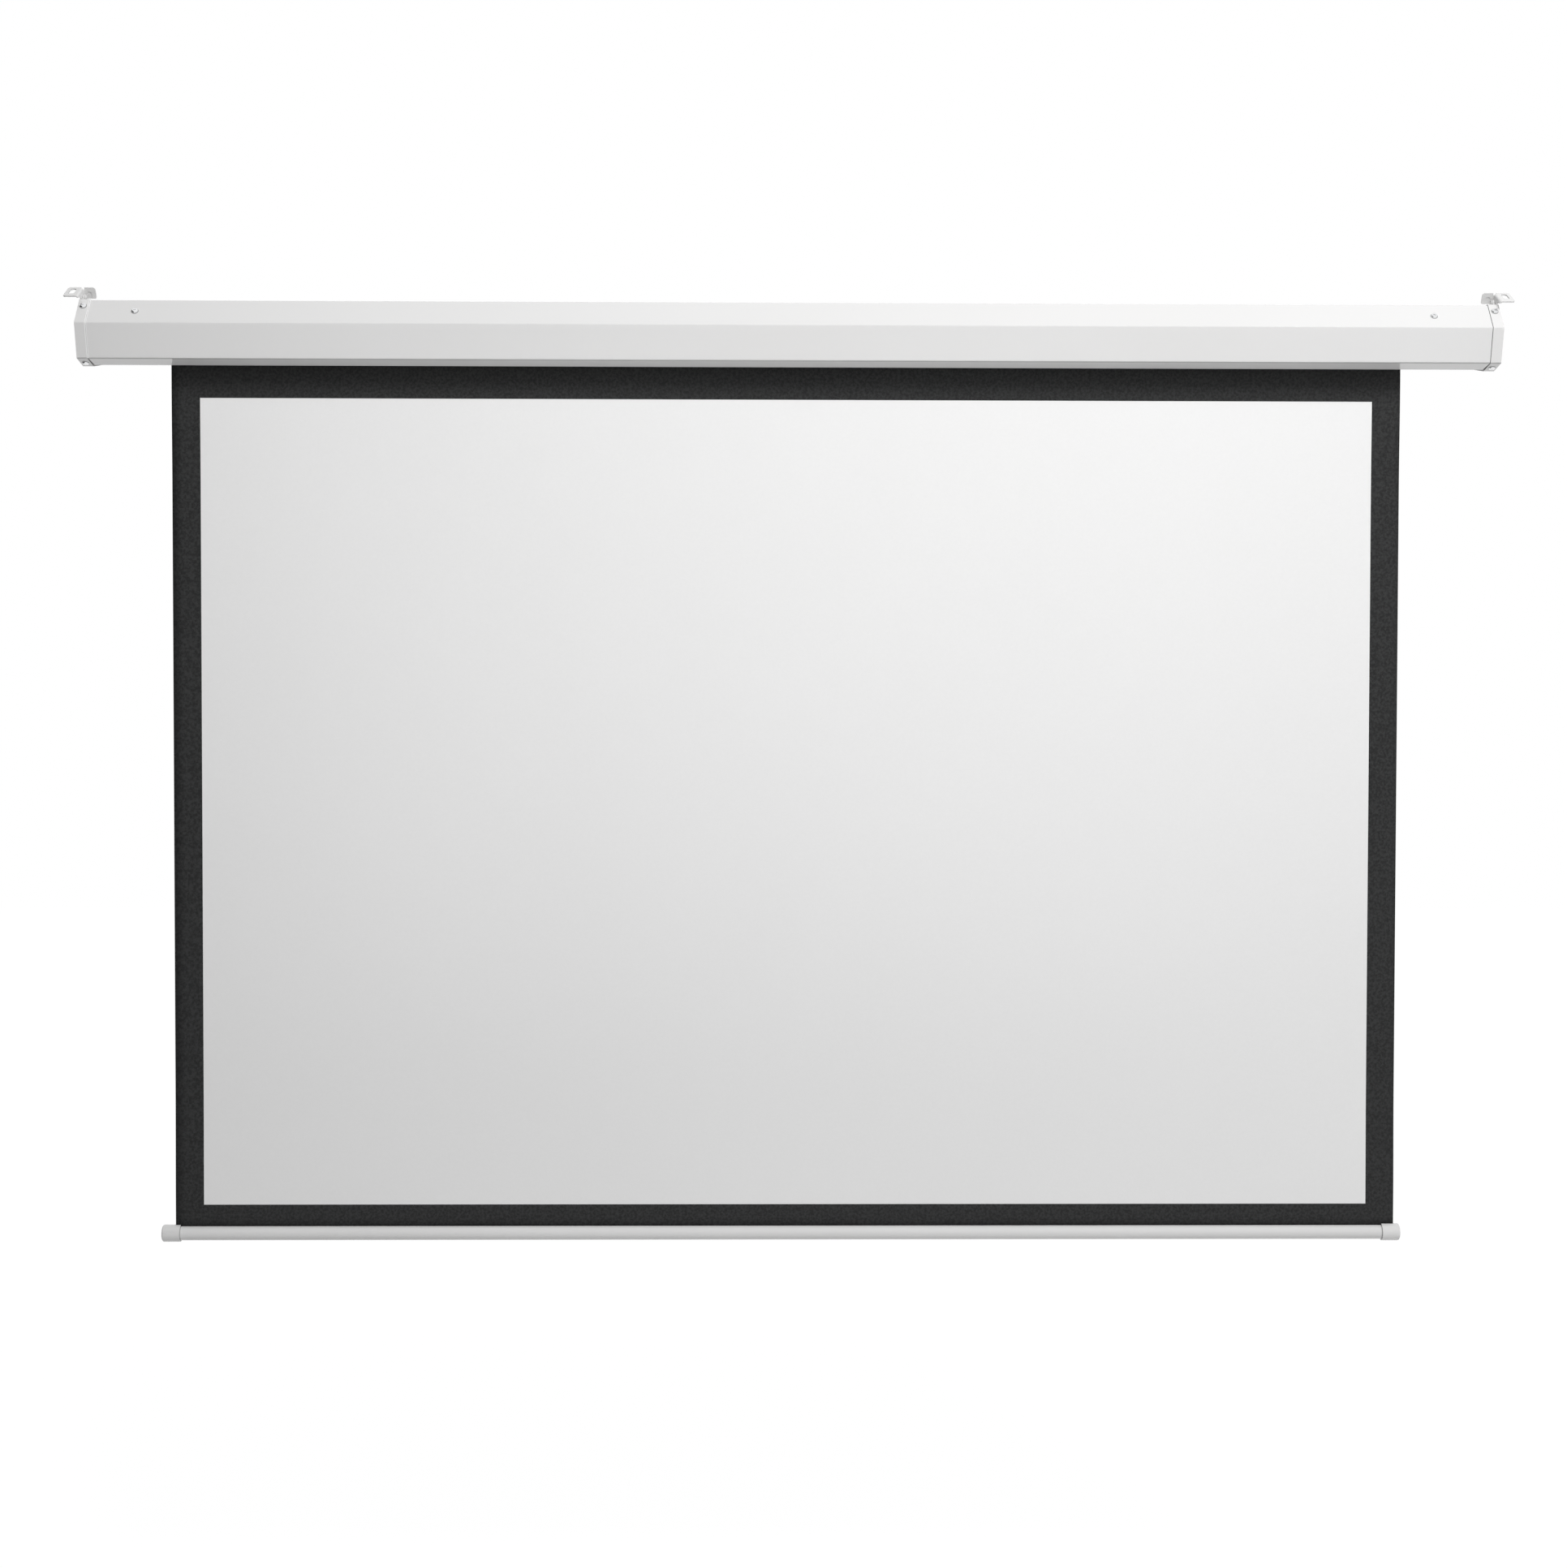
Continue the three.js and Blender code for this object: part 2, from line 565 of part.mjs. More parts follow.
function barCap(side) {
  const bore = barRadius + fit;
  const end = barLength / 2;
  const shoulder = end - barCapRound;
  const edge = domeShares.map((share) => point(
    barCapRadius - barCapRound * (1 - Math.cos(quarterTurn * share)),
    shoulder + barCapRound * Math.sin(quarterTurn * share)));
  const profile = [
    point(0, end - barCapEnd), point(bore, end - barCapEnd), point(bore, end - barCapLength),
    point(barCapRadius, end - barCapLength), point(barCapRadius, shoulder), ...edge,
    point(barCapRadius - barCapRound, end), point(0, end),
  ];
  const cup = new THREE.LatheGeometry(profile, flats).rotateZ(-side * quarterTurn)
    .translate(barOffset, barY, barZ);
  const mouth = barOffset + side * (end - barCapLength);
  const fabricEdge = side < 0 ? fabricLeft : fabricRight;
  const slit = block(Math.min(mouth, fabricEdge) - cutOverrun, Math.max(mouth, fabricEdge) + cutOverrun,
    barY - barSlit / 2, barY + barSlit / 2, barZ, barZ + barCapRadius + cutOverrun);
  return cut(cup, slit);
}

// Swivel bracket: a side plate with a slotted ceiling flange bent outwards and a wall flange bent inwards,
// which has a rounded arch pressed into its front
function bracket(side) {
  const flip = (outline) => outline.map((corner) => point(side * corner.x, corner.y));
  const inner = bracketInner;
  const outer = bracketOuter;
  const front = cornerBack - ceilingReach;
  const bendOuter = bracketBend + bracketSheet;
  const foot = cornerRise - wallReach;
  const sidePlate = alongX([
    point(front, cornerRise - bendOuter), point(-plateBrowFront, plateBrowRise),
    point(-plateChinFront, -plateChinDrop), point(0, -plateFootDrop),
    point(cornerBack - bendOuter, foot), point(cornerBack - bendOuter, cornerRise - bendOuter),
  ], side * inner, side * outer);
  const ceilingBend = alongY(flip(rounded([
    point(inner, cornerRise - bendOuter), point(inner, cornerRise), point(outer + bendOuter, cornerRise),
    point(outer + bendOuter, cornerRise - bracketSheet), point(outer, cornerRise - bracketSheet),
    point(outer, cornerRise - bendOuter),
  ], [0, bendOuter, 0, 0, bracketBend, 0])), front, cornerBack - bendOuter);
  const ceilingOutline = rectangle(outer + bracketBend, outer + ceilingWidth, front, cornerBack);
  const ceilingPlate = alongZ(flip(rounded(ceilingOutline, [0, bracketCorner, bracketCorner, 0])),
    cornerRise - bracketSheet, cornerRise);
  const wallBend = alongZ(flip(rounded([
    point(outer, cornerBack - bendOuter), point(outer, cornerBack), point(inner - bendOuter, cornerBack),
    point(inner - bendOuter, cornerBack - bracketSheet), point(inner, cornerBack - bracketSheet),
    point(inner, cornerBack - bendOuter),
  ], [0, bendOuter, 0, 0, bracketBend, 0])), foot, cornerRise - bendOuter);
  const wallPlate = alongY(flip(rounded(rectangle(inner - wallWidth, inner - bracketBend, foot, cornerRise),
    [bracketCorner / 2, 0, 0, bracketCorner])), cornerBack - bracketSheet, cornerBack);
  const slotX = outer + (bracketBend + ceilingWidth) / 2;
  const ceilingSlot = alongZ(flip(obround(slotX, cornerBack - slotSetback, slotWidth, slotLength)),
    cornerRise - bracketSheet - cutOverrun, cornerRise + cutOverrun);
  const pressOutline = obround(inner - wallWidth + pressInset, cornerRise - pressDrop - wallReach / 2,
    pressWidth, wallReach);
  const plateFront = cornerBack - bracketSheet;
  const wallPress = alongY(flip(pressOutline), plateFront - cutOverrun, plateFront + pressDepth);
  const pivotHole = rod(pivotRadius + fit, side * (inner - cutOverrun), side * (outer + cutOverrun), 0, 0,
    smallFlats);
  const folded = join(sidePlate, ceilingBend, ceilingPlate, wallBend, wallPlate);
  return cut(folded, ceilingSlot, wallPress, pivotHole);
}

// Both ends alike: cap, end plate, their screws, the bracket on its bolt and nut, and the weight bar's cap
[['left', -1], ['right', 1]].forEach(([hand, side]) => {
  add(`${hand}_end_cap`, endCap(side), capPaint);
  add(`${hand}_end_plate`, endPlate(side), bracketPaint);
  placeScrew(`${hand}_cap_top_screw`, side * capScrewX, capTopSeat, topFacing);
  placeScrew(`${hand}_cap_under_screw`, side * capScrewX, capUnderSeat, underFacing);

  const swivel = new THREE.Group();
  swivel.position.set(0, pivotY, pivotZ);
  swivel.rotation.x = THREE.MathUtils.degToRad(bracketPitch);
  screen.add(swivel);
  add(`${hand}_bracket`, bracket(side), bracketPaint, swivel);

  const headIn = bracketOuter + fit;
  const nutOut = plateInner - fit;
  const nutIn = nutOut - pivotNutHeight;
  const boltRod = (radius, from, to) => rod(radius, side * from, side * to, pivotY, pivotZ, smallFlats);
  const bolt = join(boltRod(pivotHead, headIn, headIn + pivotHeadHeight),
    boltRod(pivotRadius, nutIn - fit, headIn + fit));
  add(`${hand}_pivot_bolt`, bolt, bracketPaint);
  add(`${hand}_pivot_nut`, tube(pivotNut, pivotRadius + fit, side * nutIn, side * nutOut,
    pivotY, pivotZ, smallFlats), bracketPaint);
  add(`${hand}_bar_cap`, barCap(side), barPaint);
});

export default screen;
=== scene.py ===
# %% [markdown]
# # A lowered projection screen
# The frame is the imported model: every solid of the screen as one object, in metres, taken out of the
# bodies that move together. Everything below is fitted to it. The case's flat back is the plane y = 0,
# the screen looks towards -Y, and z = 0 is the middle of the case's height.

# %% Load the frame
import json
import math

import bmesh
import bpy
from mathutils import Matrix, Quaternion, Vector


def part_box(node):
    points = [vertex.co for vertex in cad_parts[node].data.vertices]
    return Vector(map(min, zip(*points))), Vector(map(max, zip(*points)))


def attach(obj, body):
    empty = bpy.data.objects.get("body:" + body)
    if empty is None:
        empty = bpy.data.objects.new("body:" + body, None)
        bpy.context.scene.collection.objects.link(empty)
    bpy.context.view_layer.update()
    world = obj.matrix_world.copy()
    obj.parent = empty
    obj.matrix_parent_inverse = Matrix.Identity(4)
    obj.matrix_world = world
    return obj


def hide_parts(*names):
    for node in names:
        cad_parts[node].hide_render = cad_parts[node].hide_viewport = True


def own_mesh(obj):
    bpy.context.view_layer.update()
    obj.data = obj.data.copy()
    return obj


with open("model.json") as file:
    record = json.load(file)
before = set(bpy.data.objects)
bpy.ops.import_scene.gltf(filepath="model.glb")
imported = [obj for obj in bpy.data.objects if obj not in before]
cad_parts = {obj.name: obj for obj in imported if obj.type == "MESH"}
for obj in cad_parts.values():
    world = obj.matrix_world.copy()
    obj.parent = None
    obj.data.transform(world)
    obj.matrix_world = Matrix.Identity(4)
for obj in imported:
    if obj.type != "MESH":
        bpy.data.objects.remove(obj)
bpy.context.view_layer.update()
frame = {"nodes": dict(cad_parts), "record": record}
nodes = frame["nodes"]
scene = bpy.context.scene

# %% [markdown]
# The photograph was taken from a few metres off, a little left of the middle and at about half the height
# of the fabric, so the case is seen from slightly below and the bar from slightly above. A long lens keeps
# the case's two ends nearly alike. The lens and the place were fitted to the corners of the case, the four
# edges of the fabric and the bar's ends.

# %% Camera
IMAGE_WIDTH = 1931
FOCAL_PIXELS = 2900.0
SENSOR = 36.0
CAMERA_PLACE = (-0.0541, -3.4568, -0.5545)
PITCH, YAW, ROLL = -0.0268, -0.0128, 0.00163
FARTHEST_SEEN = 60

bpy.ops.object.camera_add(location=CAMERA_PLACE)
camera = bpy.context.object
camera.name = "photo_camera"
camera.data.sensor_fit = "HORIZONTAL"
camera.data.sensor_width = SENSOR
camera.data.lens = FOCAL_PIXELS / IMAGE_WIDTH * SENSOR
camera.data.clip_end = FARTHEST_SEEN
camera.rotation_mode = "XYZ"
camera.rotation_euler = (math.pi / 2 + PITCH, -ROLL, YAW)
scene.camera = camera
print("lens mm", round(camera.data.lens, 2))

# %% [markdown]
# Materials are built from nodes. Shader maths reads best as plain expressions, so a small class wraps a
# socket and overloads the operators: writing `1 - mask` or `a * 0.4 + b` then adds the Math nodes. Any other
# node comes from one method that sets the node's settings first and its sockets after.

# %% A socket that does arithmetic
class Wire:
    """One output of a node tree, with operators that add Math nodes."""

    def __init__(self, tree, socket):
        self.tree = tree
        self.socket = socket

    def node(self, kind, settings=None, inputs=None, output=0):
        return new_node(self.tree, kind, settings, inputs, output)

    def _math(self, operation, *values):
        return self.node("ShaderNodeMath", {"operation": operation}, dict(enumerate(values)))

    def __add__(self, other):
        return self._math("ADD", self, other)

    def __radd__(self, other):
        return self._math("ADD", other, self)

    def __sub__(self, other):
        return self._math("SUBTRACT", self, other)

    def __rsub__(self, other):
        return self._math("SUBTRACT", other, self)

    def __mul__(self, other):
        return self._math("MULTIPLY", self, other)

    def __rmul__(self, other):
        return self._math("MULTIPLY", other, self)

    def above(self, other):
        return self._math("GREATER_THAN", self, other)

    def below(self, other):
        return self._math("LESS_THAN", self, other)

    def most(self, other):
        return self._math("MAXIMUM", self, other)

    def size(self):
        return self._math("ABSOLUTE", self)

    def sine(self):
        return self._math("SINE", self)

    def span(self, low, high):
        """0 at low and below, 1 at high and above, a straight ramp between."""
        inputs = {"Value": self, "From Min": low, "From Max": high, "To Min": 0.0, "To Max": 1.0}
        return self.node("ShaderNodeMapRange", {"clamp": True}, inputs)


def new_node(tree, kind, settings=None, inputs=None, output=0):
    """Add a node, set its settings, then set or link its sockets, and hand on one of its outputs."""
    node = tree.nodes.new(kind)
    for name, value in (settings or {}).items():
        setattr(node, name, value)
    for name, value in (inputs or {}).items():
        if isinstance(value, Wire):
            tree.links.new(value.socket, node.inputs[name])
        else:
            node.inputs[name].default_value = value
    return Wire(tree, node.outputs[output])


# %% [markdown]
# Every finish starts alike: an empty material with one Principled shader. The plain numbers go straight on
# the shader's own sockets, and only what changes over the surface comes in through nodes. A Mix node keeps
# its sockets for numbers, vectors and colours in one row, so those for colours are picked by their number.

# %% A new finish
MIX_FACTOR, MIX_FIRST, MIX_SECOND, MIX_COLOUR = 0, 6, 7, 2


def new_finish(name, **plain):
    """An empty material, its shader, and the place of each point on the piece."""
    material = bpy.data.materials.new(name)
    material.use_nodes = True
    shader = material.node_tree.nodes["Principled BSDF"]
    for socket, value in plain.items():
        shader.inputs[socket.replace("_", " ")].default_value = value
    place = new_node(material.node_tree, "ShaderNodeTexCoord", output="Object")
    return material, shader, place


def feed(shader, socket, wire):
    wire.tree.links.new(wire.socket, shader.inputs[socket])


def feed_roughness(shader, pattern, rough, spread):
    """The pattern moves the roughness by half the spread to either side."""
    feed(shader, "Roughness", pattern * spread + (rough - spread / 2))


def feed_bump(shader, pattern, strength, distance):
    inputs = {"Strength": strength, "Distance": distance, "Height": pattern}
    feed(shader, "Normal", pattern.node("ShaderNodeBump", inputs=inputs))


def noise(place, scale, detail=3.0, rough=0.5):
    inputs = {"Vector": place, "Scale": scale, "Detail": detail, "Roughness": rough}
    return place.node("ShaderNodeTexNoise", inputs=inputs)


def mixed(factor, first, second):
    inputs = {MIX_FACTOR: factor, MIX_FIRST: first, MIX_SECOND: second}
    return factor.node("ShaderNodeMix", {"data_type": "RGBA"}, inputs, MIX_COLOUR)


def axis(place, letter):
    """How far each point lies along X, Y or Z, in metres."""
    return place.node("ShaderNodeSeparateXYZ", inputs={"Vector": place}, output=letter)


def grey(value, warmth=0.0):
    return (value * (1 + warmth), value, value * (1 - warmth), 1.0)


# %% [markdown]
# Where the case's front bends under, a fine dark line of painted shade stands for the shade on the bend, and
# more painted shade runs where each end cap meets the case, though in front the left joint gets a painted
# highlight instead. They are thinner than a bevel can show, so masks on the piece's own coordinates paint
# them. One more mask paints a thin ring of shadow round each screw, so the screws' seats are listed here: a
# point on the paint, the way its facet faces, and the turn of the screw's cross in degrees. Screws on one
# facet share their Y and Z. The weight bar has a fine painted shade too, next to the lips of its caps.

# %% Where the screws sit
HEAD_RADIUS = 0.0046
CAP_SCREW_X = 1.0102
ON_CASE, ON_CAP, UNDER_CAP = (-0.0785, 0.027), (-0.07229, 0.03528), (-0.06135, -0.043685)
TOP_FACING, UNDER_FACING = Vector((0, -0.8, 0.6)), Vector((0, -0.1987, -0.9801))
SCREW_SEATS = {
    "left_case_screw": ((-0.9352, *ON_CASE), TOP_FACING, 20),
    "right_case_screw": ((0.921, *ON_CASE), TOP_FACING, 65),
    "left_cap_top_screw": ((-CAP_SCREW_X, *ON_CAP), TOP_FACING, 5),
    "right_cap_top_screw": ((CAP_SCREW_X, *ON_CAP), TOP_FACING, 40),
    "left_cap_under_screw": ((-CAP_SCREW_X, *UNDER_CAP), UNDER_FACING, 75),
    "right_cap_under_screw": ((CAP_SCREW_X, *UNDER_CAP), UNDER_FACING, 30),
}
print("screws", len(SCREW_SEATS))

# %% Masks of the painted shade and highlight lines
CREASE_Z, CREASE_HALF, CREASE_FRONT = -0.0399, 0.0006, -0.06
SEAM_X = 1.0022
SEAM_HIGHLIGHT_HALF, SEAM_SHADE_HALF, SEAM_UNDER_SHADE_HALF = 0.0014, 0.0005, 0.0009
RIM_SHADOW_WIDTH = 0.0007
BAR_MIDDLE = (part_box("bar_tube")[0][0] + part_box("bar_tube")[1][0]) / 2
BAR_OPEN_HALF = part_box("right_bar_cap")[0][0] - BAR_MIDDLE
BAR_SHADE_HALF = 0.0012


def crease_shade(place):
    """1 on the line of painted shade where the case's front bends under, and 0 elsewhere."""
    on_line = (axis(place, "Z") - CREASE_Z).size().below(CREASE_HALF)
    return on_line * axis(place, "Y").below(CREASE_FRONT)


def seam_highlight_and_shade(place):
    """Two masks of the joints between case and caps: painted highlight on the left one above the crease,
    painted shade on the others.
    """
    across = axis(place, "X")
    beside = (across.size() - SEAM_X).size()
    underneath = axis(place, "Z").below(CREASE_Z)
    lit = beside.below(SEAM_HIGHLIGHT_HALF) * across.below(0) * (1 - underneath)
    dark = beside.below(SEAM_SHADE_HALF) * across.above(0)
    return lit, dark.most(beside.below(SEAM_UNDER_SHADE_HALF) * underneath)


def head_rim_shadows(place):
    """1 on the paint close round each screw head, where a painted shadow stands for the light the head's
    edge keeps off.
    """
    rims = 0.0
    for seat, *_ in SCREW_SEATS.values():
        away = place.node("ShaderNodeVectorMath", {"operation": "DISTANCE"}, {0: place, 1: seat}, "Value")
        rims = away.below(HEAD_RADIUS + RIM_SHADOW_WIDTH).most(rims)
    return rims


def beside_caps(place):
    """1 on the weight bar in the shade of its caps' lips, and 0 elsewhere."""
    beside = (axis(place, "X") - BAR_MIDDLE).size() - BAR_OPEN_HALF
    return beside.size().below(BAR_SHADE_HALF)


print("bar open between caps, mm", round(2 * BAR_OPEN_HALF * 1000, 1))

# %% [markdown]
# The case is folded steel sheet with a white powder coat: nearly white, with a soft shine and the very fine
# orange-peel that baked powder leaves. A second, much larger noise changes the tone by up to two parts in a
# hundred, as a long painted sheet is never quite even. The masks then paint the fine lines of shade and the
# one highlight on that colour.

# %% Powder coat for case, brackets and bar
CREASE_SHADE_STRENGTH, RIM_SHADOW_STRENGTH, BAR_SHADE_STRENGTH = 0.5, 0.75, 0.6
CREASE_SHADE_SHARE, DEEP_SHADE_SHARE, BAR_SHADE_SHARE = 0.4, 0.25, 0.3
SEAM_HIGHLIGHT_TONE = 0.98
PATCH_SHARE = 0.982


def paint_light_and_shade_lines(place, colour, tone):
    """The colour with painted shade on the crease, round the screws and in the joints between case and caps,
    and a painted highlight on the left joint.
    """
    lit, dark = seam_highlight_and_shade(place)
    colour = mixed(crease_shade(place) * CREASE_SHADE_STRENGTH, colour, grey(tone * CREASE_SHADE_SHARE))
    colour = mixed(head_rim_shadows(place) * RIM_SHADOW_STRENGTH, colour, grey(tone * DEEP_SHADE_SHARE))
    colour = mixed(lit, colour, grey(SEAM_HIGHLIGHT_TONE))
    return mixed(dark, colour, grey(tone * DEEP_SHADE_SHARE))


def powder_coat(name, tone, rough, peel, painted_lines=False, capped=False):
    material, shader, place = new_finish(name, Roughness=rough, Specular_IOR_Level=0.36)
    patches = noise(place, scale=2.6, detail=4.0).span(low=0.35, high=0.7)
    specks = noise(place, scale=900.0, detail=2.0)
    skin = noise(place, scale=420.0)
    colour = mixed(patches, grey(tone, warmth=0.002), grey(tone * PATCH_SHARE, warmth=0.004))
    # Painted shade and highlight lines, on the case's paint.
    if painted_lines:
        colour = paint_light_and_shade_lines(place, colour, tone)
    if capped:
        colour = mixed(beside_caps(place) * BAR_SHADE_STRENGTH, colour, grey(tone * BAR_SHADE_SHARE))
    feed(shader, "Base Color", colour)
    feed_roughness(shader, specks, rough, spread=0.08)
    feed_bump(shader, skin, peel, distance=0.0004)
    return material


case_paint = powder_coat("case_powder_coat", tone=0.80, rough=0.10, peel=0.02, painted_lines=True)
bar_paint = powder_coat("bar_powder_coat", tone=0.78, rough=0.14, peel=0.03, capped=True)
bracket_paint = powder_coat("bracket_powder_coat", tone=0.77, rough=0.30, peel=0.06)
print("powder coats", case_paint.name, bar_paint.name, bracket_paint.name)

# %% [markdown]
# The caps of case and bar are moulded in a white plastic that matches the case. It is a touch duller than
# the paint, its skin shows a faint grain from the mould, and the colour keeps soft marks of the flow. The
# motor's head and the roller's rings are black, the motor's lead and the grommet are rubber, and the
# limit screws, the bearing and the spline in the hem are grey.

# %% Moulded plastics and rubber
FLOW_SHARE = 0.97


def moulded(name, tone, rough, grain, warmth=0.0, painted_lines=False):
    material, shader, place = new_finish(name, Roughness=rough)
    flow = noise(place, scale=14.0, detail=2.0)
    fine = noise(place, scale=1500.0, detail=2.0)
    colour = mixed(flow, grey(tone, warmth), grey(tone * FLOW_SHARE, warmth))
    # Painted shade and highlight lines, on the caps' plastic.
    if painted_lines:
        colour = paint_light_and_shade_lines(place, colour, tone)
    feed(shader, "Base Color", colour)
    feed_roughness(shader, flow, rough, spread=0.08)
    feed_bump(shader, fine, grain, distance=0.0002)
    return material


cap_plastic = moulded("cap_plastic", tone=0.80, rough=0.24, grain=0.04, warmth=0.004, painted_lines=True)
black_plastic = moulded("black_plastic", tone=0.018, rough=0.5, grain=0.2)
grey_plastic = moulded("grey_plastic", tone=0.16, rough=0.5, grain=0.2)
black_rubber = moulded("black_rubber", tone=0.012, rough=0.75, grain=0.3)
print("plastics", cap_plastic.name, black_plastic.name, grey_plastic.name, black_rubber.name)

# %% [markdown]
# The steel inside the case is zinc plated, with faint rolling lines along the sheet. The roller is a drawn
# tube, so its lines run along X. The screws are bright plated: near mirrors, which show as small black and
# white patches because they reflect the studio. The pivot bolts and nuts are painted like their brackets.

# %% Bare metals
LINE_SHARE, METAL_WARMTH = 0.88, -0.01


def drawn_metal(name, tone, rough, stretch):
    material, shader, place = new_finish(name, Metallic=1.0, Roughness=rough)
    along = place.node("ShaderNodeMapping", inputs={"Vector": place, "Scale": stretch})
    lines = noise(along, scale=60.0, detail=5.0)
    colour = mixed(lines, grey(tone, METAL_WARMTH), grey(tone * LINE_SHARE, METAL_WARMTH))
    feed(shader, "Base Color", colour)
    feed_roughness(shader, lines, rough, spread=0.16)
    feed_bump(shader, lines, strength=0.08, distance=0.0003)
    return material


plain_steel = drawn_metal("zinc_plated_steel", tone=0.55, rough=0.38, stretch=(1.0, 1.0, 14.0))
tube_aluminium = drawn_metal("drawn_aluminium", tone=0.66, rough=0.34, stretch=(0.2, 9.0, 9.0))
chrome_plate = drawn_metal("bright_plated_steel", tone=0.86, rough=0.14, stretch=(1.0, 1.0, 1.0))
print("metals", plain_steel.name, tube_aluminium.name, chrome_plate.name)

# %% [markdown]
# The fabric is one cloth: glass yarn woven plain, coated matt white on the viewing side inside a black
# border, and black all over on the back. The weave has about two threads to the millimetre, or one to each
# half of a repeat, which only show close up, so it is a bump, and a fine grain changes the tone a little.
# The border's edge is printed and sharp, and it lies where the frame's viewing surface ends. The frame's
# boxes are single precision, so they are rounded to the micrometre.

# %% Fabric finishes
def frame_box(name):
    """The low and the high corner of a solid's box, rounded to the micrometre."""
    return [[round(float(value), 6) for value in corner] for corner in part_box(name)]


(VIEW_LEFT, _, VIEW_FOOT), (VIEW_RIGHT, _, VIEW_TOP) = frame_box("viewing_surface")
REPEATS_PER_METRE = 900.0
REPEAT_TURN = REPEATS_PER_METRE * 2 * math.pi
THREAD_HEIGHT = 0.00006
BLACK_TONES, BLACK_WARMTH = (0.026, 0.044), -0.012
WHITE_TONES, WHITE_WARMTH = (0.912, 0.888), 0.001
PATCH_PART, GRAIN_PART = 0.6, 0.4


def window(across, upward):
    """1 on the white inside the black border, and 0 on the border."""
    beside = (across - (VIEW_LEFT + VIEW_RIGHT) / 2).size()
    above = (upward - (VIEW_TOP + VIEW_FOOT) / 2).size()
    return beside.below((VIEW_RIGHT - VIEW_LEFT) / 2) * above.below((VIEW_TOP - VIEW_FOOT) / 2)


def screen_cloth(name, has_window):
    material, shader, place = new_finish(name, Roughness=0.9, Specular_IOR_Level=0.25)
    across, upward = axis(place, "X"), axis(place, "Z")
    threads = (across * REPEAT_TURN).sine() * (upward * REPEAT_TURN).sine()
    grain = noise(place, scale=260.0, detail=2.0, rough=0.7).span(low=0.38, high=0.62)
    colour = mixed(grain, *[grey(tone, BLACK_WARMTH) for tone in BLACK_TONES])
    if has_window:
        patches = noise(place, scale=5.0, detail=4.0) * PATCH_PART + grain * GRAIN_PART
        white = mixed(patches, *[grey(tone, WHITE_WARMTH) for tone in WHITE_TONES])
        colour = mixed(window(across, upward), colour, white)
    feed(shader, "Base Color", colour)
    feed_bump(shader, threads, strength=0.15, distance=THREAD_HEIGHT)
    return material


front_cloth = screen_cloth("screen_front_cloth", has_window=True)
back_cloth = screen_cloth("screen_back_cloth", has_window=False)
print("white window, m", round(VIEW_RIGHT - VIEW_LEFT, 4), "by", round(VIEW_TOP - VIEW_FOOT, 4))

# %% [markdown]
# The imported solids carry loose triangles. Welding them in a modifier, then bevelling every sharp edge by a
# fraction of a millimetre, gives folded sheet and moulded plastic the thin bright edges that real ones
# have, and leaves each solid's own mesh as it is. Solids that hardly show do without.

# %% Finish for each solid
FINISH_OF_SLOT = {
    "case_paint": case_paint,
    "cap_plastic": cap_plastic,
    "bar_paint": bar_paint,
    "bracket_paint": bracket_paint,
    "plain_steel": plain_steel,
    "chrome_plate": chrome_plate,
    "tube_aluminium": tube_aluminium,
    "black_plastic": black_plastic,
    "grey_plastic": grey_plastic,
    "black_rubber": black_rubber,
    "fabric_white": front_cloth,
    "fabric_black": back_cloth,
}
EDGE_OF_SLOT = {
    "case_paint": 0.0003,
    "cap_plastic": 0.0009,
    "bar_paint": 0.0002,
    "bracket_paint": 0.0005,
    "chrome_plate": 0.00015,
}
WELD_WITHIN = 0.00001
EDGE_SEGMENTS = 3
SHARP_FROM = math.radians(32)
LARGE_FACES_FIRST = 100
slot_of_node = {part["node"]: part["material_slot"] for part in frame["record"]["subparts"]}


def soften_edges(solid, width):
    weld = solid.modifiers.new("weld", "WELD")
    weld.merge_threshold = WELD_WITHIN
    soften = solid.modifiers.new("soft_edges", "BEVEL")
    soften.width = width
    soften.segments = EDGE_SEGMENTS
    soften.limit_method = "ANGLE"
    soften.angle_limit = SHARP_FROM
    even = solid.modifiers.new("even_light", "WEIGHTED_NORMAL")
    even.keep_sharp = True
    even.weight = LARGE_FACES_FIRST
    for face in solid.data.polygons:
        face.use_smooth = True


for name, solid in nodes.items():
    slot = slot_of_node[name]
    solid.data.materials.clear()
    solid.data.materials.append(FINISH_OF_SLOT[slot])
    if slot in EDGE_OF_SLOT:
        soften_edges(solid, EDGE_OF_SLOT[slot])
print("dressed", len(nodes), "solids")

# %% [markdown]
# Six bright screws show: two on the top facet of the case and two on each end cap. A real one has a pan
# head with a rolled rim and a cross recess that narrows downwards. One is modelled here, head up at the
# origin, from a cylinder: its rim is bevelled round, its top lifted a little, and its shank and the shank's
# narrow tip extruded from the underside. Two tapered cutters then make the recess. An operator acts on all
# that is selected, so three helpers come first: they select nothing, one piece, or the faces that pass a
# test of where they are and which way they face.

# %% Picking pieces and faces
FACES_UP, FACES_DOWN = 0.9, -0.9


def deselect_all():
    bpy.ops.object.select_all(action="DESELECT")


def pick(piece):
    """Select this piece alone and make it the active one."""
    deselect_all()
    piece.select_set(True)
    bpy.context.view_layer.objects.active = piece


def pick_faces(piece, wanted):
    """Select only the faces whose middle and normal the test accepts."""
    bpy.ops.mesh.select_mode(type="FACE")
    bpy.ops.mesh.select_all(action="DESELECT")
    shape = bmesh.from_edit_mesh(piece.data)
    for face in shape.faces:
        if wanted(face.calc_center_median(), face.normal):
            face.select_set(True)
    bmesh.update_edit_mesh(piece.data)


def is_top(middle, normal):
    return normal.z > FACES_UP


